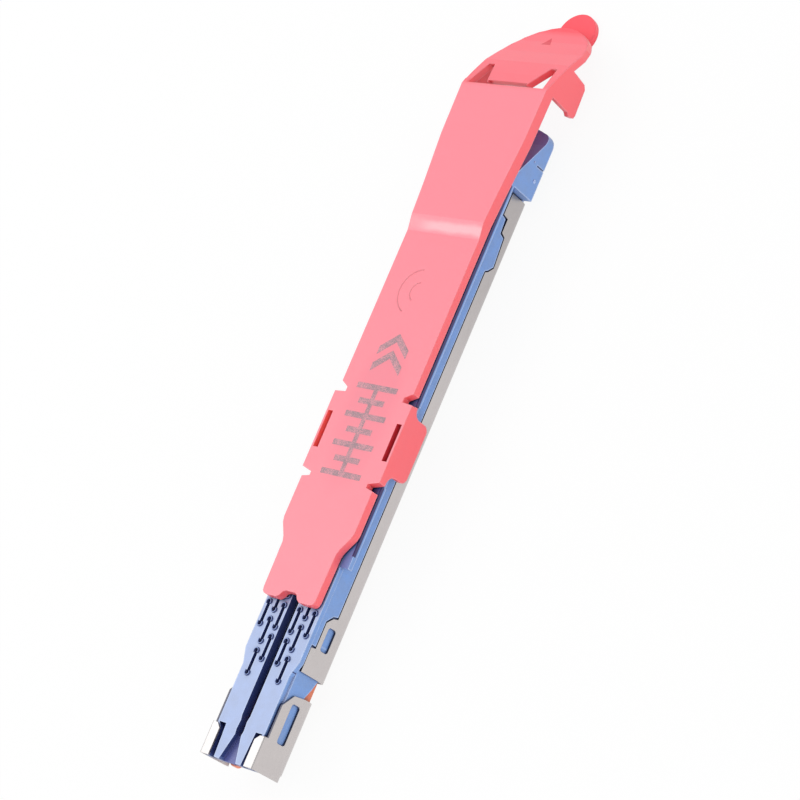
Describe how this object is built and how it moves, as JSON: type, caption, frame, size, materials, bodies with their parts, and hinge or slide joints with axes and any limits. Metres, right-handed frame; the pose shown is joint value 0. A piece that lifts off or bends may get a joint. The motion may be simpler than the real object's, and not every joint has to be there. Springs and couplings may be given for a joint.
{
  "type": "linear cutter reload cartridge",
  "caption": "Reload cartridge for an endoscopic linear cutter: slotted plastic body in a sheet pan, with sled, drivers, staples and a clip-on retaining cap.",
  "frame": {"origin": "bottom centre of the bounding box; the underside of the pan is 1.3 mm above it", "axes": "+X from the proximal (loading) end towards the nose, +Y across the staple rows, +Z out of the staple deck"},
  "size_m": [0.1032, 0.0136, 0.0092],
  "materials": {
    "body_plastic": "satin moulded plastic, periwinkle blue",
    "pan_steel": "matt rolled stainless sheet",
    "cap_plastic": "translucent coral moulded plastic",
    "sled_plastic": "orange moulded plastic",
    "driver_plastic": "natural moulded plastic",
    "staple_wire": "bright titanium wire"
  },
  "bodies": {
    "cartridge": {"cartridge_body": "body_plastic", "pan": "pan_steel"},
    "sled": {"sled": "sled_plastic"},
    "cap": {"retaining_cap": "cap_plastic"},
    "station_01": {"drivers_01": "driver_plastic", "staples_01": "staple_wire"},
    "station_02": {"drivers_02": "driver_plastic", "staples_02": "staple_wire"},
    "station_03": {"drivers_03": "driver_plastic", "staples_03": "staple_wire"},
    "station_04": {"drivers_04": "driver_plastic", "staples_04": "staple_wire"},
    "station_05": {"drivers_05": "driver_plastic", "staples_05": "staple_wire"},
    "station_06": {"drivers_06": "driver_plastic", "staples_06": "staple_wire"},
    "station_07": {"drivers_07": "driver_plastic", "staples_07": "staple_wire"},
    "station_08": {"drivers_08": "driver_plastic", "staples_08": "staple_wire"},
    "station_09": {"drivers_09": "driver_plastic", "staples_09": "staple_wire"},
    "station_10": {"drivers_10": "driver_plastic", "staples_10": "staple_wire"},
    "station_11": {"drivers_11": "driver_plastic", "staples_11": "staple_wire"},
    "station_12": {"drivers_12": "driver_plastic", "staples_12": "staple_wire"},
    "station_13": {"drivers_13": "driver_plastic", "staples_13": "staple_wire"},
    "station_14": {"drivers_14": "driver_plastic", "staples_14": "staple_wire"},
    "station_15": {"drivers_15": "driver_plastic", "staples_15": "staple_wire"}
  },
  "joints": [
    {"name": "cap_lift_off", "type": "slide", "parent": "cartridge", "child": "cap", "axis": [0, 0, 1], "range_m": [0, 0.025]},
    {"name": "sled_advance", "type": "slide", "parent": "cartridge", "child": "sled", "axis": [1, 0, 0], "range_m": [0, 0.0039]},
    {"name": "station_01_lift", "type": "slide", "parent": "cartridge", "child": "station_01", "axis": [0, 0, 1], "range_m": [0, 0.0034]},
    {"name": "station_02_lift", "type": "slide", "parent": "cartridge", "child": "station_02", "axis": [0, 0, 1], "range_m": [0, 0.0034]},
    {"name": "station_03_lift", "type": "slide", "parent": "cartridge", "child": "station_03", "axis": [0, 0, 1], "range_m": [0, 0.0003]},
    {"name": "station_04_lift", "type": "slide", "parent": "cartridge", "child": "station_04", "axis": [0, 0, 1], "range_m": [0, 0.0003]},
    {"name": "station_05_lift", "type": "slide", "parent": "cartridge", "child": "station_05", "axis": [0, 0, 1], "range_m": [0, 0.0003]},
    {"name": "station_06_lift", "type": "slide", "parent": "cartridge", "child": "station_06", "axis": [0, 0, 1], "range_m": [0, 0.0003]},
    {"name": "station_07_lift", "type": "slide", "parent": "cartridge", "child": "station_07", "axis": [0, 0, 1], "range_m": [0, 0.0003]},
    {"name": "station_08_lift", "type": "slide", "parent": "cartridge", "child": "station_08", "axis": [0, 0, 1], "range_m": [0, 0.0003]},
    {"name": "station_09_lift", "type": "slide", "parent": "cartridge", "child": "station_09", "axis": [0, 0, 1], "range_m": [0, 0.0003]},
    {"name": "station_10_lift", "type": "slide", "parent": "cartridge", "child": "station_10", "axis": [0, 0, 1], "range_m": [0, 0.0003]},
    {"name": "station_11_lift", "type": "slide", "parent": "cartridge", "child": "station_11", "axis": [0, 0, 1], "range_m": [0, 0.0003]},
    {"name": "station_12_lift", "type": "slide", "parent": "cartridge", "child": "station_12", "axis": [0, 0, 1], "range_m": [0, 0.0003]},
    {"name": "station_13_lift", "type": "slide", "parent": "cartridge", "child": "station_13", "axis": [0, 0, 1], "range_m": [0, 0.0003]},
    {"name": "station_14_lift", "type": "slide", "parent": "cartridge", "child": "station_14", "axis": [0, 0, 1], "range_m": [0, 0.0003]},
    {"name": "station_15_lift", "type": "slide", "parent": "cartridge", "child": "station_15", "axis": [0, 0, 1], "range_m": [0, 0.0003]}
  ],
  "couplings": [
    {"joint": "station_01_lift", "follows": "sled_advance", "ratio": 0.36397}
  ]
}
